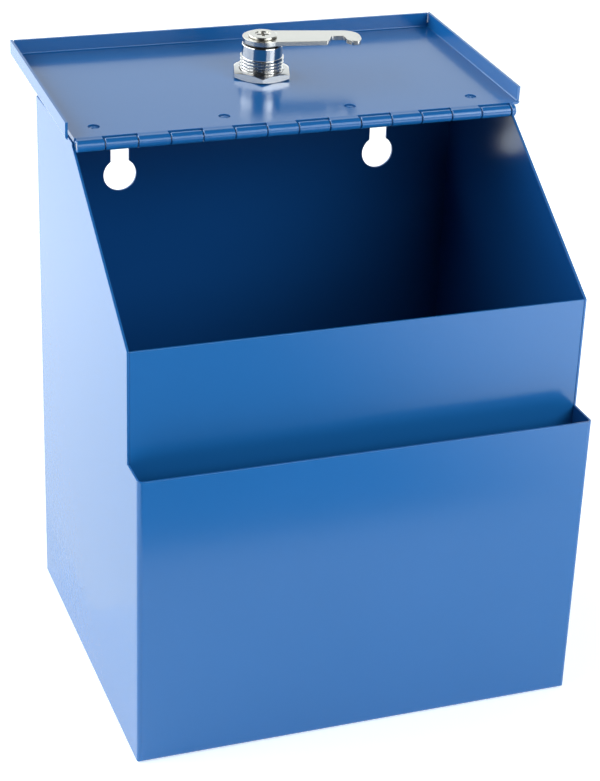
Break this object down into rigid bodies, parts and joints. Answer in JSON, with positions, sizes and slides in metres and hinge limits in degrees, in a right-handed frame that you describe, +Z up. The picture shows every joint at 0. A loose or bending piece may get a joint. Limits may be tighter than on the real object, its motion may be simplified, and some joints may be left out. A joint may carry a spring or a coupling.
{
  "type": "drop box",
  "caption": "Sheet-steel wall or counter drop box with a card pocket in front and a sloped, hinged lid with a cam lock.",
  "frame": {"origin": "centre of the base's underside, where the box stands on a surface", "axes": "+Z up, +X to the right of someone facing the pocket, +Y towards the wall behind the box"},
  "size_m": [0.1852, 0.1843, 0.2403],
  "materials": {
    "blue_powder_coat": "gloss blue powder coat on folded mild steel sheet",
    "zinc_wire": "plain steel wire",
    "nickel_plate": "bright nickel plate on die-cast zinc",
    "zinc_plate": "bright zinc plate on stamped steel",
    "brass": "stamped brass",
    "spring_steel": "drawn spring wire"
  },
  "bodies": {
    "box": {"outer_shell": "blue_powder_coat", "inner_front_panel": "blue_powder_coat", "back_panel": "blue_powder_coat", "top_panel": "blue_powder_coat", "latch_catch": "blue_powder_coat", "hinge_box_leaf": "blue_powder_coat", "hinge_pin": "zinc_wire", "hinge_top_welds": "blue_powder_coat"},
    "lid": {"lid_pan": "blue_powder_coat", "hinge_lid_leaf": "blue_powder_coat", "hinge_lid_welds": "blue_powder_coat", "lock_housing": "nickel_plate", "lock_nut": "nickel_plate"},
    "lock": {"lock_plug": "nickel_plate", "wafer_tumblers": "brass", "wafer_springs": "spring_steel", "stop_washer": "zinc_plate", "lock_cam": "zinc_plate", "cam_washer": "zinc_plate", "cam_screw": "zinc_plate"}
  },
  "joints": [
    {"name": "lid_hinge", "type": "hinge", "parent": "box", "child": "lid", "pos_m": [0, 0.013, 0.21765], "axis": [1, 0, 0], "range_deg": [0, 210.3]},
    {"name": "lock_turn", "type": "hinge", "parent": "lid", "child": "lock", "pos_m": [0.0008, 0.06576, 0.22175], "axis": [0, -0.0501, 0.9987], "range_deg": [0, 101]}
  ]
}
